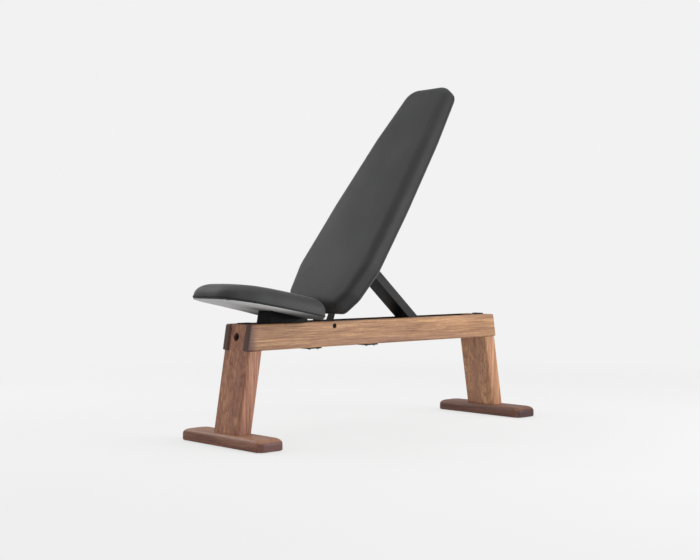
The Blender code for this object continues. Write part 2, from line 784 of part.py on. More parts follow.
def build_hinge_bracket(name, parent, plate, plate_top, ears, ear_faces, centre, boss, bore):
    """A base plate with two ears below it. plate is (half width, y0, y1, thickness)."""
    half_width, y0, y1, thickness = plate
    plate_low = plate_top - thickness
    outline = ear_outline(ears[0], ears[1], plate_low + 0.0010, centre, boss)
    outer, inner = ear_faces
    body = prism(outline, -outer, outer, [circle(centre[0], centre[1], bore)])
    bracket = add_object(name, body, steel(), parent)
    gap_box = block((-inner, y0 - 0.2, plate_low - 0.1), (inner, y1 + 0.2, plate_low + 0.05))
    combine(bracket, "DIFFERENCE", gap_box, steel(), name + "_space", parent)
    base = block((-half_width, y0, plate_low), (half_width, y1, plate_top))
    combine(bracket, "UNION", base, steel(), name + "_base", parent)
    return bracket


def bracket_screw(name, spot, parent, bracket_low, board_low, host, board):
    """A screw from below through a bracket's plate, up into the board, with both holes."""
    x, y = spot
    hole = turned([(0.0026, board_low - 0.020), (0.0026, board_low + 0.0090)], 12)
    cutter = combine(board, "DIFFERENCE", hole, steel(), name + "_pilot", parent)
    cutter.location = (x, y, 0.0)
    through = host.modifiers.new(name, "BOOLEAN")
    through.operation = "DIFFERENCE"
    through.solver = "EXACT"
    through.object = cutter
    screw = socket_screw(0.0042, 0.0020, 0.0022, 0.0100, 0.0016)
    piece = smooth(add_object(name, screw, zinc(), parent))
    place(piece, (x, y, bracket_low - GAP), x_turn=math.pi)


def build_backrest(root):
    pivot = empty("backrest_pivot", root, BACK_AXLE, BACK_TILT)
    board = pad_board("backrest_board", BACK_CORNERS, PAD_BASE, 1, pivot)
    shape = (BACK_THICKNESS, BACK_EDGE, BACK_THINNING)
    pad_cushion("backrest_cushion", BACK_CORNERS, PAD_BASE, *shape, 1, pivot)

    plate_top = PAD_BASE - GAP
    plate_low = plate_top - BRACKET_PLATE
    plate = (0.048, 0.033, 0.175, BRACKET_PLATE)
    ears = (0.035, 0.125)
    bracket = build_hinge_bracket(
        "backrest_hinge_bracket", pivot, plate, plate_top, ears, (0.0350, 0.0310), (0.0, 0.0), 0.015, 0.0066
    )
    spots = [(-0.0225, 0.062), (0.0225, 0.062), (-0.0225, 0.158), (0.0225, 0.158)]
    for index, spot in enumerate(spots):
        label = f"backrest_bracket_screw_{index + 1}"
        bracket_screw(label, spot, pivot, plate_low, PAD_BASE, bracket, board)

    hinge = STRUT_HINGE
    plate = (0.045, hinge.y - 0.032, hinge.y + 0.032, BRACKET_PLATE)
    ears = (hinge.y - 0.013, hinge.y + 0.013)
    centre = (hinge.y, hinge.z)
    bracket = build_hinge_bracket(
        "strut_hinge_bracket", pivot, plate, plate_top, ears, (0.0319, 0.0281), centre, 0.0110, 0.0054
    )
    for index, along in enumerate((-0.024, 0.024)):
        label = f"strut_bracket_screw_{index + 1}"
        bracket_screw(label, (0.0, hinge.y + along), pivot, plate_low, PAD_BASE, bracket, board)

    strut_pivot = empty("strut_pivot", pivot, STRUT_HINGE, -(BACK_TILT + STRUT_SLOPE))
    build_cross_pin("strut_hinge_pin", PEG_RADIUS, 0.0357, STRUT_HINGE, pivot)
    build_strut(strut_pivot)


def build_strut(parent):
    depth = STRUT_HALF_DEPTH
    length = STRUT_LENGTH
    outline = []
    for k in range(13):
        angle = math.radians(90 + 15 * k)
        outline.append(Vector((depth * math.cos(angle), depth * math.sin(angle))))
    outline.append(Vector((length - 0.045, -depth)))
    tip = 0.0105
    for k in range(11):
        angle = math.radians(-75 + 15 * k)
        outline.append(Vector((length + tip * math.cos(angle), tip * math.sin(angle))))
    outline.append(Vector((length - 0.045, depth)))
    holes = [circle(0.0, 0.0, PEG_RADIUS + 0.0004), circle(length, 0.0, PEG_RADIUS + 0.0004)]
    strut = add_object("strut", prism(outline, -STRUT_HALF_WIDTH, STRUT_HALF_WIDTH, holes), steel(), parent)
    web_start, web_end = 0.010, length - 0.024
    web_face = STRUT_WALL - depth
    far = 0.060
    hollow = [
        Vector((-far, far)),
        Vector((-far, -far)),
        Vector((web_start, -far)),
        Vector((web_start, web_face)),
        Vector((web_end, web_face)),
        Vector((web_end, -far)),
        Vector((length + far, -far)),
        Vector((length + far, far)),
    ]
    inner = STRUT_HALF_WIDTH - STRUT_WALL
    combine(strut, "DIFFERENCE", prism(hollow, -inner, inner), steel(), "strut_hollow", parent)
    build_cross_pin("strut_foot_bar", PEG_RADIUS, 0.0384, (0.0, length, 0.0), parent)


# ---------------------------------------------------------------- seat


def carrier_slot():
    """The curved slot in the seat carrier's sides, around the stop pin."""
    half = STOP_PIN_RADIUS + 0.0006
    low = STOP_ANGLE - SEAT_TRAVEL[1] - math.radians(0.6)
    high = STOP_ANGLE - SEAT_TRAVEL[0] + math.radians(0.6)
    outline = []
    steps = 8
    for radius, order in ((STOP_RADIUS + half, 1), (STOP_RADIUS - half, -1)):
        for k in range(steps + 1):
            share = k / steps if order > 0 else 1 - k / steps
            angle = low + (high - low) * share
            outline.append(Vector((-radius * math.cos(angle), radius * math.sin(angle))))
        end = high if order > 0 else low
        middle = Vector((-STOP_RADIUS * math.cos(end), STOP_RADIUS * math.sin(end)))
        for k in range(1, 6):
            turn = math.pi * k / 6
            out = Vector((-math.cos(end), math.sin(end)))
            along = Vector((math.sin(end), math.cos(end)))
            outline.append(middle + half * order * (out * math.cos(turn) + along * math.sin(turn)))
    return outline


def build_seat(root):
    pivot = empty("seat_pivot", root, SEAT_HINGE, -SEAT_TILT)
    board = pad_board("seat_board", SEAT_CORNERS, SEAT_BASE, -1, pivot)
    shape = (SEAT_THICKNESS, SEAT_EDGE, SEAT_THINNING)
    pad_cushion("seat_cushion", SEAT_CORNERS, SEAT_BASE, *shape, -1, pivot)

    top = SEAT_BASE - GAP
    outline = [
        Vector((-0.012, top)),
        Vector((-CARRIER_FRONT, top)),
        Vector((-CARRIER_FRONT, -CARRIER_DEPTH)),
    ]
    for k in range(9):
        angle = math.radians(-97 + 15 * k)
        outline.append(CARRIER_BOSS * Vector((math.cos(angle), math.sin(angle))))
    holes = [circle(0.0, 0.0, 0.0054), carrier_slot()]
    body = prism(outline, -CARRIER_HALF_WIDTH, CARRIER_HALF_WIDTH, holes)
    carrier = add_object("seat_carrier", body, steel(), pivot)
    far = 0.080
    ceiling = top - CARRIER_WALL
    front = CARRIER_WALL - CARRIER_FRONT
    hollow = [Vector((far, ceiling)), Vector((front, ceiling)), Vector((front, -far)), Vector((far, -far))]
    inner = CARRIER_HALF_WIDTH - CARRIER_WALL
    combine(carrier, "DIFFERENCE", prism(hollow, -inner, inner), steel(), "seat_carrier_hollow", pivot)
    for index, y in enumerate((-0.050, -0.130)):
        label = f"seat_carrier_screw_{index + 1}"
        bracket_screw(label, (0.0, y), pivot, ceiling, SEAT_BASE, carrier, board)
    build_cross_pin("seat_hinge_pin", 0.005, 0.0384, SEAT_HINGE, root)
    build_cross_pin("seat_stop_pin", STOP_PIN_RADIUS, 0.0384, stop_pin_place(), root)


# ---------------------------------------------------------------- whole bench


def centre_on_origin(root):
    """Move the bench along Y until its overall box is centred on the origin."""
    bpy.context.view_layer.update()
    reach = []
    for obj in bpy.data.objects:
        if obj.type == "MESH" and not obj.hide_render:
            reach += [(obj.matrix_world @ vertex.co).y for vertex in obj.data.vertices]
    root.location.y = -(min(reach) + max(reach)) / 2


def build_bench():
    clear_scene()
    root = empty("bench", None)
    for side in (-1, 1):
        build_rail(root, side)
        build_track(root, side)
    for end in (-1, 1):
        build_leg(root, end)
        build_foot(root, end)
        build_foot_fittings(root, end)
        build_tie_block(root, end)
        build_bumper(root, end)
    for name, centre in CROSS_PLATE_CENTRES.items():
        build_cross_plate(root, name, centre)
    build_axle(root)
    build_backrest(root)
    build_seat(root)
    centre_on_origin(root)


build_bench()
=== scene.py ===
"""Looks of the adjustable weight bench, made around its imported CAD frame.

The leather pads, their linings and their edge welts are built here. The wood, steel and small
hardware are the CAD nodes themselves, given materials. Metres, in the CAD's own frame.
"""

import json
import math

import bmesh
import bpy
import numpy as np
from mathutils import Matrix, Vector, noise
from mathutils.bvhtree import BVHTree


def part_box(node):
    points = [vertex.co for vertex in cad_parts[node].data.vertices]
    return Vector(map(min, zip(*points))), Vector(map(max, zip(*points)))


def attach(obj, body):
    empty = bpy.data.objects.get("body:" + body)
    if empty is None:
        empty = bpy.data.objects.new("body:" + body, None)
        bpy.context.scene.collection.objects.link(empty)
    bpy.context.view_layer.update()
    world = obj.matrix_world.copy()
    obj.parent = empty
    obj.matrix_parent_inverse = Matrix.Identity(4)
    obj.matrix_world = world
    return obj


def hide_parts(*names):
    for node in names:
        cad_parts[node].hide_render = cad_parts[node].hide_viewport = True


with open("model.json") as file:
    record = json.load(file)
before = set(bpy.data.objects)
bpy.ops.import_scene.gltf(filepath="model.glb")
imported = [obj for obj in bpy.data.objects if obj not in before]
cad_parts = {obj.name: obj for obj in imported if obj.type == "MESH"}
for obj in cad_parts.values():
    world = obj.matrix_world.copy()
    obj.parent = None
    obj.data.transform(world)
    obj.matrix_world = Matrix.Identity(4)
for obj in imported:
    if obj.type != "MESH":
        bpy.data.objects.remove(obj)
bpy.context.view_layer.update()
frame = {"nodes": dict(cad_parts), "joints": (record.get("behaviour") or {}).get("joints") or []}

NODES = frame["nodes"]
JOINTS = {joint["name"]: joint for joint in frame["joints"]}

# ---------------------------------------------------------------- sizes of the pads
# Close to the CAD pads that they stand for, and fitted to the photo as leather over foam.

BACK_CORNERS = [              # half width, distance from the axle, corner radius
    (0.122, 0.027, 0.030),
    (0.158, 0.085, 0.060),
    (0.180, 0.195, 0.160),
    (0.1665, 0.450, 0.500),
    (0.139, 0.745, 0.500),
    (0.103, 0.990, 0.056),
]
SEAT_CORNERS = [              # half width, distance ahead of the hinge, corner radius
    (0.172, 0.0315, 0.055),
    (0.171, 0.115, 0.200),
    (0.158, 0.225, 0.300),
    (0.141, 0.305, 0.200),
    (0.092, 0.399, 0.083),
]

BACK = {
    "corners": BACK_CORNERS,
    "pivot": Vector(JOINTS["backrest_tilt"]["pos_m"]),
    "tilt": math.radians(-JOINTS["backrest_tilt"]["range_deg"][0]),
    "direction": 1,
    "base": 0.024,            # from the pivot to the pad's underside
    "thickness": 0.0605,      # before the padding swells
    "thinning": 0.10,         # share of the padding lost at the far end
    "shoulder": 0.052,        # how far in from the outline the face starts to fall away
    "squareness": 4.6,        # how square the shoulder's curve is, 2 for an ellipse
}
SEAT = {
    "corners": SEAT_CORNERS,
    "pivot": Vector(JOINTS["seat_tilt"]["pos_m"]),
    "tilt": math.radians(JOINTS["seat_tilt"]["range_deg"][0]),
    "direction": -1,
    "base": 0.0252,
    "thickness": 0.0615,
    "thinning": 0.30,         # at the nose
    "shoulder": 0.070,
    "squareness": 2.7,
    "hem": 0.0045,            # how far the leather's hem hangs under the board
}

VOXEL = 0.0045                # edge of the even quads that the covers are remeshed to
OUTLINE_STEP = 0.006          # spacing of the points along an even outline
SLACK = 0.0010                # how much smaller the cover is before the padding swells
LOWER_ROLL = 0.0040           # radius of the cover's lower edge
HELD_BELOW = 0.0065           # the cloth is held up to this height over the underside
SWELL_FRAMES = 7
SWELL_CAP = 0.006             # most that any point of a cover may swell
EASE_ROUNDS = 90              # rounds of smoothing over the crown
LINING_DEPTH = 0.0110
LINING_STEPS = 14             # points in each corner of a lining's rings
LINING_INSETS = (0.0036, 0.0048, 0.0065, 0.0085, 0.0115, 0.0160, 0.0220, 0.0300, 0.0400, 0.0520)
LINING_SCALES = (0.85, 0.70, 0.55, 0.40, 0.25, 0.10)    # of its inner rings, about its middle

# Each cord's height over the pad's underside, how far it is sunk into the cover, and its radius.
BACK_WELT = (0.0016, 0.0006, 0.0014)
BACK_SIDE_SEAM = (0.0125, 0.0009, 0.0016)
SEAT_WELT = (0.0052, 0.0003, 0.0021)

RING_WIDTH = 0.0075           # between two growth rings of the walnut
THREAD_PITCH = 0.0011         # of the lining cloth

# ---------------------------------------------------------------- material nodes


class Shader:
    """One material and short calls that add nodes to it."""

    def __init__(self, name):
        self.material = bpy.data.materials.new(name)
        self.material.use_nodes = True
        self.tree = self.material.node_tree
        self.surface = self.tree.nodes["Principled BSDF"]

    def feed(self, socket, value):
        if isinstance(value, bpy.types.NodeSocket):
            self.tree.links.new(value, socket)
        else:
            socket.default_value = value

    def node(self, kind, inputs=None, **settings):
        made = self.tree.nodes.new("ShaderNode" + kind)
        for key, value in settings.items():
            setattr(made, key, value)
        for key, value in (inputs or {}).items():
            self.feed(made.inputs[key], value)
        return made

    def place(self):
        return self.node("TexCoord").outputs["Object"]

    def math(self, operation, a, b=0.0):
        return self.node("Math", {0: a, 1: b}, operation=operation).outputs[0]

    def blended(self, *parts):
        """The sum of each value times its share."""
        total = None
        for value, share in parts:
            scaled = self.math("MULTIPLY", value, share)
            total = scaled if total is None else self.math("ADD", total, scaled)
        return total

    def axis(self, vector, index):
        return self.node("SeparateXYZ", {"Vector": vector}).outputs[index]

    def stretched(self, where, scale, offset=(0.0, 0.0, 0.0)):
        inputs = {"Vector": where, "Scale": scale, "Location": offset}
        return self.node("Mapping", inputs).outputs[0]

    def noise(self, where, scale=1.0, detail=3.0, roughness=0.5, distortion=0.0):
        inputs = {
            "Vector": where, "Scale": scale, "Detail": detail,
            "Roughness": roughness, "Distortion": distortion,
        }
        return self.node("TexNoise", inputs).outputs[0]

    def span(self, value, low, high, to_low=0.0, to_high=1.0, smooth=False):
        inputs = {
            "Value": value, "From Min": low, "From Max": high,
            "To Min": to_low, "To Max": to_high,
        }
        kind = "SMOOTHSTEP" if smooth else "LINEAR"
        return self.node("MapRange", inputs, interpolation_type=kind).outputs[0]

    def ramp(self, value, stops):
        made = self.node("ValToRGB", {"Fac": value})
        points = made.color_ramp.elements
        while len(points) < len(stops):
            points.new(0.5)
        for point, (position, colour) in zip(points, stops):
            point.position = position
            point.color = (*colour, 1.0)
        return made.outputs["Color"]

    def mix(self, share, a, b, blend="MIX"):
        made = self.node("Mix", data_type="RGBA", blend_type=blend)
        for index, value in ((0, share), (6, a), (7, b)):
            if isinstance(value, tuple):
                value = (*value, 1.0)
            self.feed(made.inputs[index], value)
        return made.outputs[2]

    def bump(self, height, distance, strength=1.0, below=None):
        inputs = {"Height": height, "Distance": distance, "Strength": strength}
        if below is not None:
            inputs["Normal"] = below
        return self.node("Bump", inputs).outputs[0]

    def finish(self, colour=None, roughness=None, normal=None, **fixed):
        for key, value in (("Base Color", colour), ("Roughness", roughness), ("Normal", normal)):
            if isinstance(value, tuple):
                value = (*value, 1.0)
            if value is not None:
                self.feed(self.surface.inputs[key], value)
        for key, value in fixed.items():
            self.surface.inputs[key.replace("_", " ")].default_value = value
        return self.material


def walnut(name, turn, offset, tint, end_shade=0.0, end_tone=1.0, painted_top_light=0.0):
    """Oiled walnut. turn carries the grain onto X, and offset picks the piece's place in the tree.

    tint scales the three colours. end_shade darkens the wood towards the bench's front end.
    end_tone scales the end grain, and the last argument paints light onto the faces that look up,
    paling them as a lamp above would.
    """
    s = Shader(name)
    coordinates = s.node("TexCoord")
    place, normals = coordinates.outputs["Object"], coordinates.outputs["Normal"]
    turned = s.node("Mapping", {"Vector": place, "Rotation": turn}).outputs[0]
    moved = s.node("Mapping", {"Vector": turned, "Location": offset}).outputs[0]

    def tinted(red, green, blue):
        return (red * tint[0], green * tint[1], blue * tint[2])

    warp = s.noise(s.stretched(moved, (2.4, 9.0, 9.0)), detail=2.0)
    wander = s.noise(s.stretched(moved, (9.0, 30.0, 30.0)), detail=4.0, roughness=0.62)
    across = s.math("ADD", s.axis(moved, 1), s.span(warp, 0.3, 0.7, -0.014, 0.014))
    depth = s.math("ADD", s.axis(moved, 2), s.span(wander, 0.3, 0.7, -0.0032, 0.0032))
    squared = s.math("ADD", s.math("POWER", across, 2.0), s.math("POWER", depth, 2.0))
    ring = s.math("FRACT", s.math("DIVIDE", s.math("SQRT", squared), RING_WIDTH))
    stops = ((0.0, 0.72), (0.60, 0.52), (0.92, 0.12), (1.0, 0.72))
    rings = s.ramp(ring, [(position, (grey,) * 3) for position, grey in stops])

    wavy = s.node("Mapping", {"Vector": moved, "Scale": (6.5, 170.0, 170.0)}).outputs[0]
    streak = s.noise(wavy, detail=6.0, roughness=0.66, distortion=0.40)
    fibre = s.noise(s.stretched(moved, (34.0, 620.0, 620.0)), detail=3.0, roughness=0.6)
    band = s.noise(s.stretched(moved, (1.8, 30.0, 30.0)), detail=2.0)
    figure = s.noise(s.stretched(moved, (16.0, 90.0, 90.0)), detail=2.0, distortion=0.3)
    pore = s.noise(s.stretched(moved, (60.0, 1500.0, 1500.0)), detail=1.0)
    pores = s.span(pore, 0.60, 0.74)

    value = s.blended(
        (rings, 0.24),
        (s.span(streak, 0.36, 0.64), 0.40),
        (s.span(band, 0.32, 0.68), 0.22),
        (s.span(fibre, 0.32, 0.68), 0.18),
        (s.span(figure, 0.35, 0.65), 0.06),
    )
    colour = s.ramp(value, [
        (0.18, tinted(0.130, 0.056, 0.036)),
        (0.38, tinted(0.285, 0.145, 0.082)),
        (0.60, tinted(0.395, 0.213, 0.120)),
        (0.82, tinted(0.580, 0.345, 0.190)),
    ])
    purple = s.noise(s.stretched(moved, (1.4, 22.0, 22.0), (4.0, 2.0, 9.0)), detail=2.0)
    purpled = s.span(purple, 0.50, 0.68, 0.0, 0.45, smooth=True)
    colour = s.mix(purpled, colour, tinted(0.265, 0.140, 0.105))
    colour = s.mix(s.math("MULTIPLY", pores, 0.45), colour, tinted(0.075, 0.034, 0.022))
    if end_shade:
        along = s.axis(coordinates.outputs["Generated"], 1)
        near_end = s.span(along, 0.004, 0.042, end_shade, 0.0, smooth=True)
        colour = s.mix(near_end, colour, tinted(0.085, 0.040, 0.042))

    facing = s.node("Mapping", {"Vector": normals, "Rotation": turn}, vector_type="NORMAL")
    along = s.math("ABSOLUTE", s.axis(facing.outputs[0], 0))
    end_grain = s.span(along, 0.55, 0.90, 0.0, 0.85, smooth=True)
    speckle = s.noise(place, 1100.0, 2.0)
    dark_end = tinted(0.060 * end_tone, 0.030 * end_tone, 0.024 * end_tone)
    pale_end = tinted(0.120 * end_tone, 0.068 * end_tone, 0.056 * end_tone)
    colour = s.mix(end_grain, colour, s.mix(s.span(speckle, 0.35, 0.65), dark_end, pale_end))
    # Painted light: the faces that look up are paled, standing in for the light falling on them
    # from above.
    if painted_top_light:
        upward = s.span(s.axis(normals, 2), 0.35, 0.95, smooth=True)
        lit_top = s.math("MULTIPLY", upward, s.span(streak, 0.25, 0.60, 0.4, 1.0))
        colour = s.mix(s.math("MULTIPLY", lit_top, painted_top_light), colour, (0.560, 0.290, 0.180))

    height = s.math("SUBTRACT", s.math("MULTIPLY", fibre, 0.35), pores)
    normal = s.bump(height, 0.00022, 0.55)
    rough = s.span(s.blended((streak, 0.5), (fibre, 0.5)), 0.3, 0.7, 0.54, 0.38)
    coat = {"Specular_IOR_Level": 0.45, "Coat_Weight": 0.06, "Coat_Roughness": 0.30}
    return s.finish(colour, rough, normal, **coat)


def leather_hide(name, share, shine):
    """Charcoal leather: a pebbled grain of about a millimetre over soft, broad changes of tone.

    share scales the tone of the hide, so one leather can be painted lighter or darker where the
    light falls differently on it, and shine sets how much its finish reflects.
    """
    s = Shader(name)
    place = s.place()
    grain = {"Vector": place, "Scale": 820.0, "Randomness": 0.9}
    cells = s.node("TexVoronoi", grain, feature="DISTANCE_TO_EDGE").outputs["Distance"]
    pebble = s.span(cells, 0.0, 0.16, smooth=True)
    fine = s.noise(place, 2600.0, 3.0)
    drawn = s.stretched(place, (260.0, 190.0, 260.0))
    crease = s.noise(drawn, detail=4.0, roughness=0.6, distortion=0.6)
    broad = s.noise(place, 7.0, 3.0)
    dark, pale = 0.0330 * share, 0.0395 * share
    tone = s.ramp(broad, [
        (0.30, (dark, dark * 1.006, dark * 1.02)),
        (0.70, (pale, pale * 1.005, pale * 1.018)),
    ])
    valley = s.math("MULTIPLY", s.math("SUBTRACT", 1.0, pebble), 0.40)
    tone = s.mix(valley, tone, (0.026, 0.027, 0.029))
    tone = s.mix(s.span(fine, 0.45, 0.75, 0.0, 0.18), tone, (0.080, 0.0805, 0.0815))
    normal = s.bump(crease, 0.00045, 0.30)
    normal = s.bump(pebble, 0.00016, 0.55, below=normal)
    normal = s.bump(fine, 0.00005, 0.5, below=normal)
    rough = s.span(s.blended((broad, 0.5), (fine, 0.5)), 0.3, 0.7, 0.58, 0.47)
    sheen = {"Specular_IOR_Level": shine, "Sheen_Weight": 0.30, "Sheen_Roughness": 0.22}
    return s.finish(tone, rough, normal, **sheen)


def welt_leather():
    """The narrow black welt between leather and lining, with a finer leather grain."""
    s = Shader("black_welt_leather")
    place = s.place()
    grain = {"Vector": place, "Scale": 1500.0}
    cells = s.node("TexVoronoi", grain, feature="DISTANCE_TO_EDGE").outputs["Distance"]
    tone = s.mix(s.span(cells, 0.0, 0.2), (0.004, 0.004, 0.0045), (0.009, 0.009, 0.010))
    rough = s.span(s.noise(place, 300.0), 0.3, 0.7, 0.50, 0.66)
    return s.finish(tone, rough, s.bump(cells, 0.0001, 0.4))


def lining_cloth(name, shaded_hinge_tone, lit_far_tone):
    """Grey lining cloth: a fine plain weave with slight slubs and a faintly uneven tone.

    It goes from painted shade at the hinge end, where the frame shades it, to painted light from
    the floor towards the pad's other end.
    """
    s = Shader(name)
    place = s.place()
    wobble = s.noise(place, 120.0, 2.0)
    threads = []
    for index in (0, 1):
        turns = s.math("MULTIPLY", s.axis(place, index), 2 * math.pi / THREAD_PITCH)
        threads.append(s.math("SINE", s.math("ADD", turns, wobble)))
    weave = s.math("MULTIPLY", *threads)
    slub = s.noise(s.stretched(place, (60.0, 900.0, 60.0)), detail=2.0)
    broad = s.noise(place, 11.0, 3.0)
    # Painted light: the tone ramps from shaded at the hinge end to lit at the far end.
    along = s.span(s.math("ABSOLUTE", s.axis(place, 1)), 0.06, 0.24, smooth=True)
    rear = (shaded_hinge_tone, shaded_hinge_tone * 1.05, shaded_hinge_tone * 1.09)
    far = (lit_far_tone, lit_far_tone * 1.02, lit_far_tone * 1.04)
    tone = s.mix(along, rear, far)
    patchy = s.mix(s.span(broad, 0.30, 0.70, 0.0, 0.22), (1.0, 1.0, 1.0), (0.62, 0.62, 0.62))
    tone = s.mix(1.0, tone, patchy, "MULTIPLY")
    threads_apart = s.mix(s.span(weave, -1.0, 1.0, 0.30, 0.0), (1.0, 1.0, 1.0), (0.45, 0.45, 0.45))
    tone = s.mix(1.0, tone, threads_apart, "MULTIPLY")
    tone = s.mix(s.span(slub, 0.55, 0.75, 0.0, 0.12), tone, (0.410, 0.411, 0.416))
    normal = s.bump(weave, 0.00012, 0.6)
    rough = s.span(slub, 0.3, 0.7, 0.92, 0.80)
    sheen = {"Specular_IOR_Level": 0.06, "Sheen_Weight": 0.03, "Sheen_Roughness": 0.6}
    return s.finish(tone, rough, normal, **sheen)


def powder_coat(name, painted_side_light):
    """Black powder coat: a fine orange peel with faint dust and rubbed lighter patches.

    The second argument greys the faces that look sideways: painted light, standing in for the lamp
    at the side.
    """
    s = Shader(name)
    place = s.place()
    peel = s.noise(place, 1300.0, 3.0, 0.55)
    rub = s.noise(s.stretched(place, (30.0, 14.0, 30.0)), detail=5.0, roughness=0.65)
    dust = s.noise(place, 420.0, 4.0, 0.7)
    tone = s.ramp(rub, [(0.35, (0.0024, 0.0024, 0.0026)), (0.75, (0.0046, 0.0046, 0.0049))])
    tone = s.mix(s.span(dust, 0.62, 0.80, 0.0, 0.25), tone, (0.012, 0.012, 0.0125))
    # Painted light: the faces that look sideways are greyed as if lit by the side lamp.
    if painted_side_light:
        facing = s.math("ABSOLUTE", s.axis(s.node("TexCoord").outputs["Normal"], 0))
        sideways = s.span(facing, 0.6, 0.95, 0.0, painted_side_light, smooth=True)
        side_lit_tone = s.mix(s.span(rub, 0.3, 0.7), (0.040, 0.040, 0.041), (0.056, 0.056, 0.057))
        tone = s.mix(sideways, tone, side_lit_tone)
    normal = s.bump(peel, 0.00012, 0.5)
    rough = s.span(s.blended((rub, 0.6), (dust, 0.4)), 0.3, 0.7, 0.36, 0.50)
    return s.finish(tone, rough, normal, Specular_IOR_Level=0.14)


def zinc_plate():
    """Zinc plated steel: fine turning lines, soft stains and small scratches."""
    s = Shader("zinc_plated_steel")
    place = s.place()
    stain = s.noise(place, 90.0, 4.0, 0.6)
    scratch = s.noise(s.stretched(place, (40.0, 3000.0, 400.0)), detail=2.0)
    tone = s.ramp(stain, [(0.30, (0.330, 0.335, 0.345)), (0.70, (0.520, 0.525, 0.535))])
    tone = s.mix(s.span(scratch, 0.60, 0.75, 0.0, 0.4), tone, (0.65, 0.65, 0.66))
    rough = s.span(stain, 0.3, 0.7, 0.42, 0.26)
    return s.finish(tone, rough, s.bump(scratch, 0.00004, 0.4), Metallic=1.0)


def moulded(name, dark, light, rough_low, rough_high):
    """Moulded rubber or nylon: a matt speckle, faint flow marks and softly varied gloss."""
    s = Shader(name)
    place = s.place()
    speckle = s.noise(place, 1700.0, 2.0)
    flow = s.noise(s.stretched(place, (45.0, 45.0, 180.0)), detail=4.0)
    tone = s.mix(s.span(flow, 0.3, 0.7), dark, light)
    rough = s.span(flow, 0.3, 0.7, rough_high, rough_low)
    return s.finish(tone, rough, s.bump(speckle, 0.00008, 0.5), Specular_IOR_Level=0.4)


# ---------------------------------------------------------------- materials on the CAD nodes


def dress(names, material):
    for name in names:
        for slot in NODES[name].material_slots:
            slot.material = material


def dress_frame():
    quarter = math.pi / 2
    along_y = (0.0, 0.0, -quarter)
    upright = (0.0, quarter, 0.0)
    across = (0.0, 0.0, 0.0)
    wood = {    # turn, offset, tint, end shade, end tone and painted top light, as walnut() takes them
        "right_rail": (along_y, (0.37, 0.062, 0.043), (1.22, 1.18, 1.06), 0.92, 1.0, 0.0),
        "left_rail": (along_y, (2.11, 0.071, 0.118), (1.22, 1.18, 1.06), 0.92, 1.0, 0.0),
        "front_leg": (upright, (1.30, 0.095, 0.050), (1.20, 1.02, 1.07), 0.0, 1.0, 0.0),
        "rear_leg": (upright, (3.70, 0.085, 0.070), (1.42, 1.33, 1.26), 0.0, 1.0, 0.0),
        "front_foot": (across, (5.20, 0.700, 0.060), (0.66, 0.51, 0.57), 0.0, 2.6, 0.75),
        "rear_foot": (across, (6.10, -0.520, 0.080), (0.42, 0.33, 0.40), 0.0, 1.5, 0.25),
        "front_tie_block": (across, (7.30, 0.060, 0.050), (0.60, 0.55, 0.55), 0.0, 1.0, 0.0),
        "rear_tie_block": (across, (8.30, 0.070, 0.040), (0.60, 0.55, 0.55), 0.0, 1.0, 0.0),
    }
    for name, look in wood.items():
        dress([name], walnut("walnut_" + name, *look))
    black_ends = ("_plate", "_bracket", "_cap", "_leg_bolt", "_carrier")
    black = [name for name in NODES if name.endswith(black_ends)]
    dress(black, powder_coat("black_powder_coat", 0.0))
    # The strut's coat has painted light on its sides; the other black parts have none.
    dress(["strut"], powder_coat("strut_powder_coat", 0.85))
    zinc_ends = ("_foot_bolt", "_pin", "_axle", "_bar")
    zinc = [name for name in NODES if "screw" in name or name.endswith(zinc_ends)]
    dress(zinc, zinc_plate())
    rubber = [name for name in NODES if name.endswith(("_glide", "_bumper"))]
    dress(rubber, moulded("black_rubber", (0.012, 0.012, 0.012), (0.022, 0.022, 0.022), 0.62, 0.82))
    nylon = [name for name in NODES if name.endswith("_bush")]
    dress(nylon, moulded("black_nylon", (0.030, 0.030, 0.031), (0.050, 0.050, 0.051), 0.40, 0.55))


# ---------------------------------------------------------------- pads


def fillet(corners, steps):
    """A closed outline through (x, y, radius) corners, each one rounded by an arc."""
    outline = []
    for index, (x, y, radius) in enumerate(corners):
        here = Vector((x, y))
        before = Vector(corners[index - 1][:2]) - here
        after = Vector(corners[(index + 1) % len(corners)][:2]) - here
        half = before.angle(after) / 2
        reach = min(radius / math.tan(half), 0.48 * min(before.length, after.length))
        arc_radius = reach * math.tan(half)
        towards = (before.normalized() + after.normalized()).normalized()
        centre = here + towards * (arc_radius / math.sin(half))
        start = here + before.normalized() * reach - centre
        end = here + after.normalized() * reach - centre
        sweep = start.angle_signed(end)
        first = math.atan2(start.y, start.x)
        for step in range(steps + 1):
            angle = first - sweep * step / steps
            outline.append(centre + arc_radius * Vector((math.cos(angle), math.sin(angle))))
    return outline


def pad_outline(pad, inset, steps=9):
    """The pad's outline, drawn in by an even inset, with Y running along the pad."""
    corners = pad["corners"]
    first, last = corners[0][1], corners[-1][1]
    side = []
    for half_width, along, radius in corners:
        shift = inset if along == first else -inset if along == last else 0.0
        side.append((half_width - inset, along + shift, max(radius - inset, radius * 0.3)))
    mirrored = [(-half_width, along, radius) for half_width, along, radius in reversed(side)]
    return fillet(side + mirrored, steps)


def pad_middle(pad):
    return (pad["corners"][0][1] + pad["corners"][-1][1]) / 2


def on_pad(pad, point, height):
    """A point of the pad's outline, in the pad's own frame, at a height over its pivot."""
    return Vector((point.x, pad["direction"] * point.y, height))


def pad_matrix(pad):
    return Matrix.Translation(pad["pivot"]) @ Matrix.Rotation(pad["tilt"], 4, "X")


def mesh_object(name, bm, material, matrix=Matrix.Identity(4)):
    bmesh.ops.recalc_face_normals(bm, faces=bm.faces)
    mesh = bpy.data.meshes.new(name)
    bm.to_mesh(mesh)
    bm.free()
    mesh.materials.append(material)
    mesh.shade_smooth()
    obj = bpy.data.objects.new(name, mesh)
    bpy.context.scene.collection.objects.link(obj)
    obj.matrix_world = matrix
    return obj


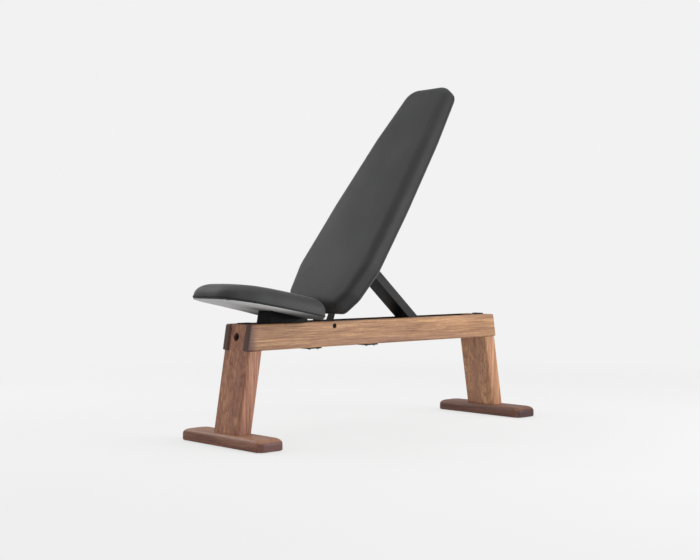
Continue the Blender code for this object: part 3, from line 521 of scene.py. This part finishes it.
def loft(rings, crown):
    """A closed solid through rings of equal count, flat at its first ring and ending on a crown."""
    bm = bmesh.new()
    made = [[bm.verts.new(point) for point in ring] for ring in rings]
    count = len(rings[0])
    for lower, upper in zip(made, made[1:]):
        for k in range(count):
            bm.faces.new((lower[k - 1], lower[k], upper[k], upper[k - 1]))
    bm.faces.new(made[0])
    tip = bm.verts.new(crown)
    for k in range(count):
        bm.faces.new((made[-1][k - 1], made[-1][k], tip))
    return bm


def pad_lift(pad, height, along):
    """Thins the padding gently towards the pad's far end."""
    middle = pad_middle(pad)
    share = max(0.0, (along - middle) / (pad["corners"][-1][1] - middle))
    return height * (1 - pad["thinning"] * share**3)


def hem_drop(pad, height, along):
    """How far the leather's hem hangs below the board near the pad's two ends."""
    near_hinge = max(0.0, 1 - (along - pad["corners"][0][1]) / 0.170)
    near_nose = max(0.0, 1 - (pad["corners"][-1][1] - along) / 0.240)
    ends = near_hinge**3 + 0.9 * near_nose**2
    return pad.get("hem", 0.0) * ends * max(0.0, 1 - height / 0.020)


def pad_rings(pad):
    """Rings of the leather cover from its underside, round its lower edge, to its crown."""
    padding = pad["thickness"] - SLACK
    rings = []

    def ring(inset, height):
        made = []
        for p in pad_outline(pad, inset):
            rise = pad_lift(pad, height, p.y) - hem_drop(pad, height, p.y)
            made.append(on_pad(pad, p, pad["base"] + rise))
        return made

    rings.append(ring(0.0170, 0.0060))
    rings.append(ring(0.0120, 0.0045))
    for step in range(5):
        angle = math.radians(90) * step / 4
        inset = SLACK * 0.5 + LOWER_ROLL * (1 - math.sin(angle))
        rings.append(ring(inset, LOWER_ROLL * (1 - math.cos(angle)) + 0.0004))
    power = pad["squareness"]
    steps = 14
    for step in range(1, steps + 1):
        share = 1 - math.cos(math.radians(90) * step / steps)
        rise = (1 - (1 - share) ** power) ** (1 / power)
        height = LOWER_ROLL + (padding - LOWER_ROLL) * rise
        rings.append(ring(SLACK * 0.5 + pad["shoulder"] * share, height))
    return rings


def pad_cover(pad):
    """The leather cover before it is inflated: a loft whose crown closes along the pad's middle."""
    rings = pad_rings(pad)
    middle = pad["direction"] * pad_middle(pad)
    rim = rings[-1]
    for scale, rise in ((0.72, 0.0016), (0.40, 0.0026)):
        rings.append([
            Vector((p.x * scale, middle + (p.y - middle) * scale, p.z + rise)) for p in rim
        ])
    mean_height = sum(p.z for p in rings[-1]) / len(rings[-1])
    return loft(rings, Vector((0.0, middle, max(rim[0].z, mean_height) + 0.0004)))


def bake_modifiers(obj):
    """Replace the object's mesh with what its modifiers make of it."""
    graph = bpy.context.evaluated_depsgraph_get()
    graph.update()
    made = bpy.data.meshes.new_from_object(obj.evaluated_get(graph))
    obj.modifiers.clear()
    obj.data = made


def remesh(obj):
    change = obj.modifiers.new("even quads", "REMESH")
    change.mode = "VOXEL"
    change.voxel_size = VOXEL
    change.use_smooth_shade = True
    bake_modifiers(obj)


def points_of(mesh):
    flat = np.empty(len(mesh.vertices) * 3)
    mesh.vertices.foreach_get("co", flat)
    return flat.reshape(-1, 3)


def spread(mesh, field, rounds):
    """Even out a value per point by averaging it with its neighbours' values."""
    ends = np.empty(len(mesh.edges) * 2, dtype=np.int64)
    mesh.edges.foreach_get("vertices", ends)
    first, second = ends.reshape(-1, 2).T
    neighbours = np.bincount(ends, minlength=len(field))[:, None]
    for _ in range(rounds):
        total = np.zeros_like(field)
        np.add.at(total, first, field[second])
        np.add.at(total, second, field[first])
        field = 0.5 * field + 0.5 * total / neighbours
    return field


def inflate(obj, pad):
    """Swell the cover as cloth under pressure, held along its underside.

    The foam under the leather evens out the cloth's movement, so the faces stay smooth.
    """
    scene = bpy.context.scene
    start = points_of(obj.data)
    held = obj.vertex_groups.new(name="held")
    for index in np.nonzero(start[:, 2] < pad["base"] + HELD_BELOW)[0]:
        held.add([int(index)], 1.0, "REPLACE")
    cloth = obj.modifiers.new("padding", "CLOTH")
    settings = cloth.settings
    settings.quality = 6
    settings.mass = 0.35
    settings.tension_stiffness = 60.0
    settings.compression_stiffness = 36.0
    settings.shear_stiffness = 24.0
    settings.bending_stiffness = 8.0
    settings.use_pressure = True
    settings.uniform_pressure_force = 4.0
    settings.vertex_group_mass = held.name
    settings.effector_weights.gravity = 0.0
    cloth.collision_settings.use_collision = False
    cloth.point_cache.frame_start = 1
    cloth.point_cache.frame_end = 20
    for number in range(1, SWELL_FRAMES + 1):
        scene.frame_set(number)
    bake_modifiers(obj)
    scene.frame_set(1)
    moved = spread(obj.data, points_of(obj.data) - start, 24)
    length = np.linalg.norm(moved, axis=1, keepdims=True)
    moved *= np.minimum(1.0, SWELL_CAP / np.maximum(length, 1e-9))
    obj.data.vertices.foreach_set("co", (start + moved).ravel())
    obj.vertex_groups.clear()


def ease_face(obj, pad):
    """Even out the face inside the shoulders, so the foam shows as one calm crown."""
    points = points_of(obj.data)
    inward = np.full(len(points), np.inf)
    for edge in even_outline(pad):
        inward = np.minimum(inward, np.hypot(points[:, 0] - edge.x, points[:, 1] - edge.y))
    level = pad["base"] + 0.5 * pad["thickness"]
    share = np.clip((inward - 0.6 * pad["shoulder"]) / 0.030, 0.0, 1.0) * (points[:, 2] > level)
    eased = spread(obj.data, points[:, 2:3], EASE_ROUNDS)[:, 0]
    points[:, 2] += share * (eased - points[:, 2])
    obj.data.vertices.foreach_set("co", points.ravel())


def gather_corners(obj, pad, depth=0.0011, pleats=9):
    """Small pleats where the leather is pulled round the pad's two hinge-side corners."""
    half_width, along, radius = pad["corners"][0]
    points = points_of(obj.data)
    low = np.clip(1.0 - (points[:, 2] - pad["base"]) / 0.022, 0.0, 1.0)
    low *= np.clip((points[:, 2] - pad["base"]) / 0.003, 0.0, 1.0)
    for side in (-1, 1):
        out_x = side * points[:, 0] - (half_width - radius)
        out_y = (along + radius) - pad["direction"] * points[:, 1]
        reach = np.hypot(out_x, out_y)
        angle = np.arctan2(out_y, out_x)
        quarter = np.clip(np.sin(2 * np.clip(angle, 0.0, math.pi / 2)), 0.0, 1.0)
        near = np.clip((reach - 0.70 * radius) / (0.25 * radius), 0.0, 1.0)
        push = depth * low * quarter * near * (0.5 - 0.5 * np.cos(4 * pleats * angle))
        points[:, 0] -= side * push * np.cos(angle)
        points[:, 1] += pad["direction"] * push * np.sin(angle)
    obj.data.vertices.foreach_set("co", points.ravel())
    obj.data.update()


def build_pad(name, pad, body, cad_cushion, hide):
    cover = mesh_object(name, pad_cover(pad), hide)
    remesh(cover)
    inflate(cover, pad)
    ease_face(cover, pad)
    gather_corners(cover, pad)
    soften = cover.modifiers.new("soft surface", "SUBSURF")
    soften.levels = 1
    soften.render_levels = 1
    cover.data.shade_smooth()
    cover.matrix_world = pad_matrix(pad)
    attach(cover, body)
    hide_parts(cad_cushion)
    return cover


def cord(path, radius, sides=8):
    """A closed round cord through a closed path of points."""
    bm = bmesh.new()
    rings = []
    count = len(path)
    for index, point in enumerate(path):
        along = (path[(index + 1) % count] - path[index - 1]).normalized()
        out = along.cross(Vector((0.0, 0.0, 1.0))).normalized()
        over = out.cross(along)
        ring = []
        for side in range(sides):
            angle = 2 * math.pi * side / sides
            spoke = out * math.cos(angle) + over * math.sin(angle)
            ring.append(bm.verts.new(point + radius * spoke))
        rings.append(ring)
    for index, ring in enumerate(rings):
        before = rings[index - 1]
        for side in range(sides):
            bm.faces.new((before[side - 1], before[side], ring[side], ring[side - 1]))
    return bm


def even_outline(pad):
    """The pad's outline as points an even distance apart."""
    loop = [on_pad(pad, p, 0.0) for p in pad_outline(pad, 0.0, 12)]
    closed = loop + [loop[0]]
    reach = [0.0]
    for before, after in zip(closed, closed[1:]):
        reach.append(reach[-1] + (after - before).length)
    count = int(reach[-1] / OUTLINE_STEP)
    wanted = np.arange(count) * reach[-1] / count
    xs = np.interp(wanted, reach, [p.x for p in closed])
    ys = np.interp(wanted, reach, [p.y for p in closed])
    return [Vector((x, y, 0.0)) for x, y in zip(xs, ys)]


def build_edge_cord(name, pad, body, cover, height, sink, radius):
    """A cord sewn along the cover's side at a height over the underside, partly sunk into it."""
    mesh = cover.data
    tree = BVHTree.FromPolygons([v.co for v in mesh.vertices], [p.vertices for p in mesh.polygons])
    loop = even_outline(pad)
    path = []
    count = len(loop)
    for index, point in enumerate(loop):
        along = (loop[(index + 1) % count] - loop[index - 1]).normalized()
        out = along.cross(Vector((0.0, 0.0, 1.0)))
        if out.dot(point - Vector((0.0, pad["direction"] * 0.25, 0.0))) < 0:
            out.negate()
        level = Vector((point.x, point.y, pad["base"] + height))
        hit = tree.ray_cast(level + out * 0.03, -out)[0]
        if hit:
            path.append(hit - out * sink)
    welt = mesh_object(name, cord(path, radius), WELT, pad_matrix(pad))
    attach(welt, body)


def build_lining(name, pad, body, cad_board, cloth):
    """The cloth stretched over the underside of the board, with shallow puckers at its rim."""

    def height(point, inset):
        """Puckers pull the cloth inwards, never out towards the brackets."""
        where = Vector((point.x * 38.0, point.y * 38.0, 0.5))
        soft = abs(noise.noise(where)) * 0.0010
        angle = math.atan2(point.x, point.y - 0.2)
        pucker = 0.5 + 0.5 * math.sin(61.0 * angle + 3.0 * noise.noise(where * 0.5))
        near_rim = max(0.0, 1.0 - inset / 0.024)
        away = min(1.0, (inset - LINING_INSETS[0]) / 0.010)
        flat = pad["base"] + 0.0001 - hem_drop(pad, 0.0, point.y)
        return flat + away * (soft + 0.0008 * pucker * near_rim)

    edge = pad_outline(pad, LINING_INSETS[0], LINING_STEPS)
    rings = [[on_pad(pad, p, pad["base"] + LINING_DEPTH) for p in edge]]
    for inset in LINING_INSETS:
        loop = pad_outline(pad, inset, LINING_STEPS)
        rings.append([on_pad(pad, p, height(p, inset)) for p in loop])
    middle = pad_middle(pad)
    for scale in LINING_SCALES:
        inner = [Vector((p.x * scale, middle + (p.y - middle) * scale)) for p in loop]
        rings.append([on_pad(pad, p, height(p, LINING_INSETS[-1])) for p in inner])
    bm = loft(rings, on_pad(pad, Vector((0.0, middle)), pad["base"] + 0.0004))
    bmesh.ops.remove_doubles(bm, verts=bm.verts, dist=1e-6)
    lining = mesh_object(name, bm, cloth, pad_matrix(pad))
    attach(lining, body)
    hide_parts(cad_board)


# ---------------------------------------------------------------- studio

RAIL_MIDDLE = sum((corner.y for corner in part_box("right_rail")), 0.0) / 2
CAMERA_PLACE = Vector((3.0718, RAIL_MIDDLE - 2.9055, 0.56966))
CAMERA_YAW = math.radians(47.54)
CAMERA_PITCH = math.radians(-0.791)
CAMERA_ROLL = math.radians(-0.173)
CAMERA_LENS = 62.87           # millimetres, over the sensor's width
SENSOR_WIDTH = 36.0
BACKGROUND = 0.8879           # pale grey of the studio
WORLD_FILL = 0.45             # what lights the bench from all round
FLOOR_GLOW = 0.72             # share of the floor's brightness that shadows don't reach
FLOOR_TONE = 0.298            # albedo that carries the rest of it


def build_camera():
    forward = Vector((
        -math.sin(CAMERA_YAW) * math.cos(CAMERA_PITCH),
        math.cos(CAMERA_YAW) * math.cos(CAMERA_PITCH),
        math.sin(CAMERA_PITCH),
    ))
    level = Vector((math.cos(CAMERA_YAW), math.sin(CAMERA_YAW), 0.0))
    upward = level.cross(forward)
    right = level * math.cos(CAMERA_ROLL) + upward * math.sin(CAMERA_ROLL)
    above = -level * math.sin(CAMERA_ROLL) + upward * math.cos(CAMERA_ROLL)
    turn = Matrix((right, above, -forward)).transposed()
    data = bpy.data.cameras.new("camera")
    data.sensor_width = SENSOR_WIDTH
    data.lens = CAMERA_LENS
    data.clip_end = 60.0
    camera = bpy.data.objects.new("camera", data)
    bpy.context.scene.collection.objects.link(camera)
    camera.matrix_world = Matrix.Translation(CAMERA_PLACE) @ turn.to_4x4()
    bpy.context.scene.camera = camera


def softbox(name, place, target, width, height, brightness):
    """A large even white light. brightness is the radiance of its face."""
    data = bpy.data.lights.new(name, "AREA")
    data.shape = "RECTANGLE"
    data.size = width
    data.size_y = height
    data.energy = brightness * math.pi * width * height
    light = bpy.data.objects.new(name, data)
    bpy.context.scene.collection.objects.link(light)
    away = Vector(place) - Vector(target)
    turn = away.to_track_quat("Z", "Y").to_matrix().to_4x4()
    light.matrix_world = Matrix.Translation(place) @ turn


def build_studio():
    scene = bpy.context.scene
    scene.view_settings.view_transform = "Standard"
    scene.view_settings.look = "None"
    world = bpy.data.worlds.new("studio")
    scene.world = world
    world.use_nodes = True
    nodes = world.node_tree.nodes
    links = world.node_tree.links
    nodes.clear()
    seen = nodes.new("ShaderNodeBackground")
    seen.inputs["Color"].default_value = (BACKGROUND, BACKGROUND, BACKGROUND, 1.0)
    fill = nodes.new("ShaderNodeBackground")
    fill.inputs["Color"].default_value = (WORLD_FILL, WORLD_FILL, WORLD_FILL, 1.0)
    path = nodes.new("ShaderNodeLightPath")
    choose = nodes.new("ShaderNodeMixShader")
    output = nodes.new("ShaderNodeOutputWorld")
    links.new(path.outputs["Is Camera Ray"], choose.inputs[0])
    links.new(fill.outputs[0], choose.inputs[1])
    links.new(seen.outputs[0], choose.inputs[2])
    links.new(choose.outputs[0], output.inputs["Surface"])

    softbox("right_light", (3.1, 1.5, 1.2), (0.0, 0.0, 0.35), 2.6, 2.2, 3.9)
    softbox("left_light", (-2.7, -1.0, 2.3), (0.0, 0.0, 0.5), 2.4, 1.8, 2.1)
    softbox("top_light", (0.0, 0.2, 3.2), (0.0, 0.0, 0.4), 3.0, 3.0, 0.7)


def build_floor():
    """A pale plain floor that fades into the background well away from the bench.

    What the camera sees of it is mostly an even glow, so only the softest shadows show. The bench
    itself is lit by a plain pale floor.
    """
    s = Shader("pale_floor")
    place = s.place()
    away = s.node("VectorMath", {0: place}, operation="LENGTH").outputs["Value"]
    patch = s.noise(place, 2.5, 2.0)
    tone = s.ramp(patch, [(0.3, (FLOOR_TONE * 0.99,) * 3), (0.7, (FLOOR_TONE * 1.01,) * 3)])
    s.finish(tone, s.span(patch, 0.3, 0.7, 0.92, 0.96), Specular_IOR_Level=0.0)
    glow = BACKGROUND * FLOOR_GLOW
    s.surface.inputs["Emission Color"].default_value = (glow, glow, glow, 1.0)
    s.surface.inputs["Emission Strength"].default_value = 1.0
    plain = s.node("BsdfDiffuse", {"Color": (0.72, 0.72, 0.72, 1.0)})
    clear = s.node("BsdfTransparent")
    path = s.node("LightPath")
    to_camera = path.outputs["Is Camera Ray"]
    seen = s.node("MixShader", {0: to_camera, 1: plain.outputs[0], 2: s.surface.outputs[0]})
    share = s.span(away, 1.3, 3.4, 1.0, 0.0, smooth=True)
    faded = s.node("MixShader", {0: share, 1: clear.outputs[0], 2: seen.outputs[0]})
    s.feed(s.tree.nodes["Material Output"].inputs["Surface"], faded.outputs[0])
    bm = bmesh.new()
    bmesh.ops.create_circle(bm, cap_ends=True, segments=96, radius=3.5)
    floor = mesh_object("floor", bm, s.material)


# ---------------------------------------------------------------- whole scene

WELT = welt_leather()

dress_frame()
# The two pads share one leather; its tone is painted darker on the backrest and lighter on the
# seat, standing in for the light falling on each.
back_hide = leather_hide("backrest_leather", 0.88, 0.35)
back_cover = build_pad("backrest_cover", BACK, "backrest", "backrest_cushion", back_hide)
build_edge_cord("backrest_welt", BACK, "backrest", back_cover, *BACK_WELT)
build_edge_cord("backrest_side_seam", BACK, "backrest", back_cover, *BACK_SIDE_SEAM)
back_cloth = lining_cloth("backrest_lining_cloth", 0.20, 0.26)
build_lining("backrest_lining", BACK, "backrest", "backrest_board", back_cloth)
seat_hide = leather_hide("seat_leather", 1.22, 0.44)
seat_cover = build_pad("seat_cover", SEAT, "seat", "seat_cushion", seat_hide)
build_edge_cord("seat_welt", SEAT, "seat", seat_cover, *SEAT_WELT)
# The seat lining goes from painted shade at the hinge to painted light at the nose.
seat_cloth = lining_cloth("seat_lining_cloth", 0.11, 0.92)
build_lining("seat_lining", SEAT, "seat", "seat_board", seat_cloth)
build_camera()
build_studio()
build_floor()
